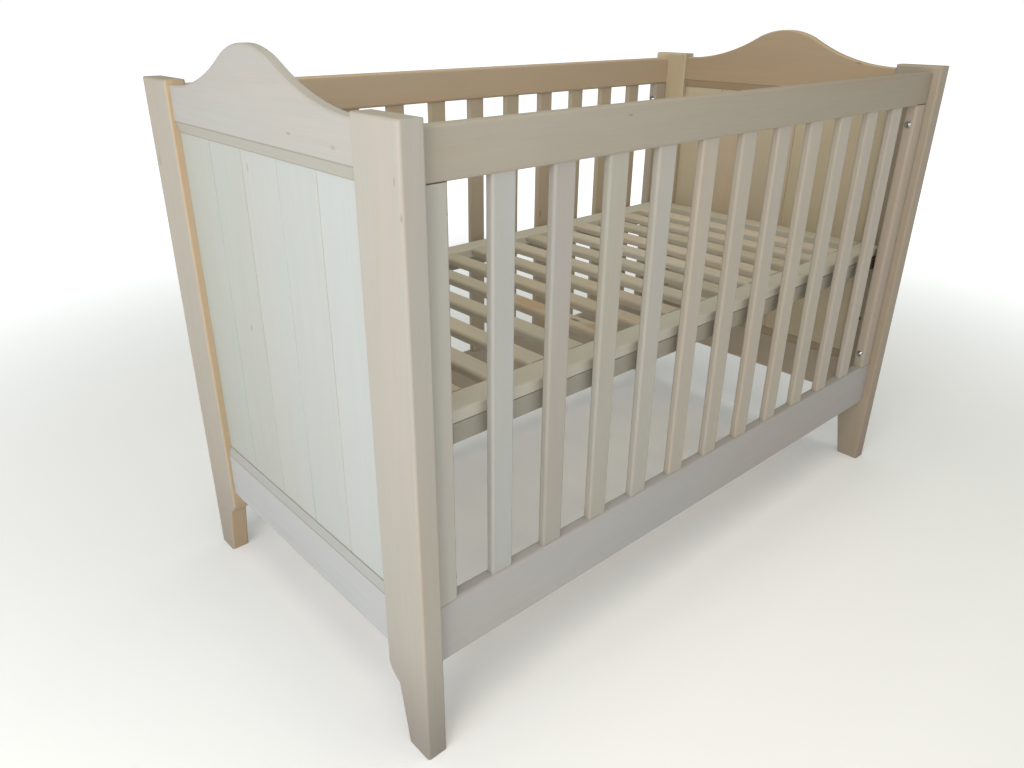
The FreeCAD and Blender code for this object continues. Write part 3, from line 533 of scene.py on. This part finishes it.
for node_name, slot in SLOTS.items():
    if slot in METALS:
        give(node_name, METALS[slot])
    else:
        beginning = max((key for key in KINDS if node_name.startswith(key)), key=len)
        timber(node_name, KINDS[beginning], SPOTS.get(node_name, ()))


# ---------------------------------------------------------------- stage, light and camera

FLOOR_HALF = 30.0
FLOOR_DROP = 0.0005
FLOOR_COLOUR = (0.93, 0.93, 0.925)
GLOW_SPAN = (0.9, 3.2)      # how far out the floor's glow starts and stops growing
GLOW = (0.06, 0.85)

# Each light: name, place, what it is aimed at, width and height, watts, colour.
LIGHTS = (
    ("window", (-2.4, -0.8, 1.3), (-0.5, -0.1, 0.5), (1.6, 1.2), 27.0, (1.0, 1.0, 1.0)),
    ("corner", (-2.1, -1.9, 1.7), (-0.5, -0.2, 0.5), (1.2, 1.2), 12.5, (1.0, 0.85, 0.76)),
    ("ceiling", (0.0, -0.4, 3.4), (0.0, 0.0, 0.4), (3.0, 3.0), 56.0, (1.0, 0.92, 0.72)),
)
SKY_FILL, SKY_FILL_STRENGTH = (0.86, 1.0, 1.12), 0.30
SKY_SEEN, SKY_SEEN_STRENGTH = (1.0, 1.0, 1.0), 1.0

CAMERA_PLACE = (-1.0759, -0.9808, 0.9504)
CAMERA_TURN = (65.0894, -0.2132, -41.4753)
SENSOR_MM, FOCAL_MM = 36.0, 27.72
LENS_SHIFT = (0.0108, -0.00775)


def floor():
    """A pale floor that glows faintly near the crib and fades to white further out."""
    material, tree, shader = start_material("floor_white")
    shader.inputs["Base Color"].default_value = rgba(FLOOR_COLOUR)
    shader.inputs["Roughness"].default_value = 0.9
    shader.inputs["Emission Color"].default_value = (1.0, 1.0, 1.0, 1.0)
    away = length(tree, add(tree, "ShaderNodeTexCoord").outputs["Object"])
    tree.links.new(ramp(tree, away, *GLOW_SPAN, *GLOW), shader.inputs["Emission Strength"])
    mesh = bpy.data.meshes.new("floor")
    corners = [(x * FLOOR_HALF, y * FLOOR_HALF, 0) for x, y in ((-1, -1), (1, -1), (1, 1), (-1, 1))]
    mesh.from_pydata(corners, [], [(0, 1, 2, 3)])
    mesh.materials.append(material)
    obj = bpy.data.objects.new("floor", mesh)
    SCENE.collection.objects.link(obj)
    obj.location.z = CAD_BOX[0].z - FLOOR_DROP


def softbox(name, place, target, size, power, colour):
    light = bpy.data.lights.new(name, "AREA")
    light.shape = "RECTANGLE"
    light.size, light.size_y = size
    light.energy = power
    light.color = colour
    obj = bpy.data.objects.new(name, light)
    SCENE.collection.objects.link(obj)
    obj.location = place
    obj.rotation_euler = (Vector(target) - Vector(place)).to_track_quat("-Z", "Y").to_euler()


def surround():
    """An even sky: cool and dim as light, white where it is seen."""
    world = bpy.data.worlds.new("studio")
    world.use_nodes = True
    tree = world.node_tree
    tree.nodes.clear()
    light = add(tree, "ShaderNodeBackground", {0: rgba(SKY_FILL), 1: SKY_FILL_STRENGTH})
    seen = add(tree, "ShaderNodeBackground", {0: rgba(SKY_SEEN), 1: SKY_SEEN_STRENGTH})
    is_seen = add(tree, "ShaderNodeLightPath").outputs["Is Camera Ray"]
    mix = add(tree, "ShaderNodeMixShader", {0: is_seen, 1: light.outputs[0], 2: seen.outputs[0]})
    add(tree, "ShaderNodeOutputWorld", {0: mix.outputs[0]})
    SCENE.world = world


def camera():
    data = bpy.data.cameras.new("camera")
    data.sensor_width = SENSOR_MM
    data.lens = FOCAL_MM
    data.shift_x, data.shift_y = LENS_SHIFT
    obj = bpy.data.objects.new("camera", data)
    SCENE.collection.objects.link(obj)
    obj.location = CAMERA_PLACE
    obj.rotation_euler = Euler([math.radians(turn) for turn in CAMERA_TURN], "XYZ")
    SCENE.camera = obj


floor()
surround()
for light in LIGHTS:
    softbox(*light)
camera()

SCENE.view_settings.view_transform = "Standard"
SCENE.view_settings.look = "None"
SCENE.view_settings.exposure = 0.0
SCENE.view_settings.gamma = 1.0
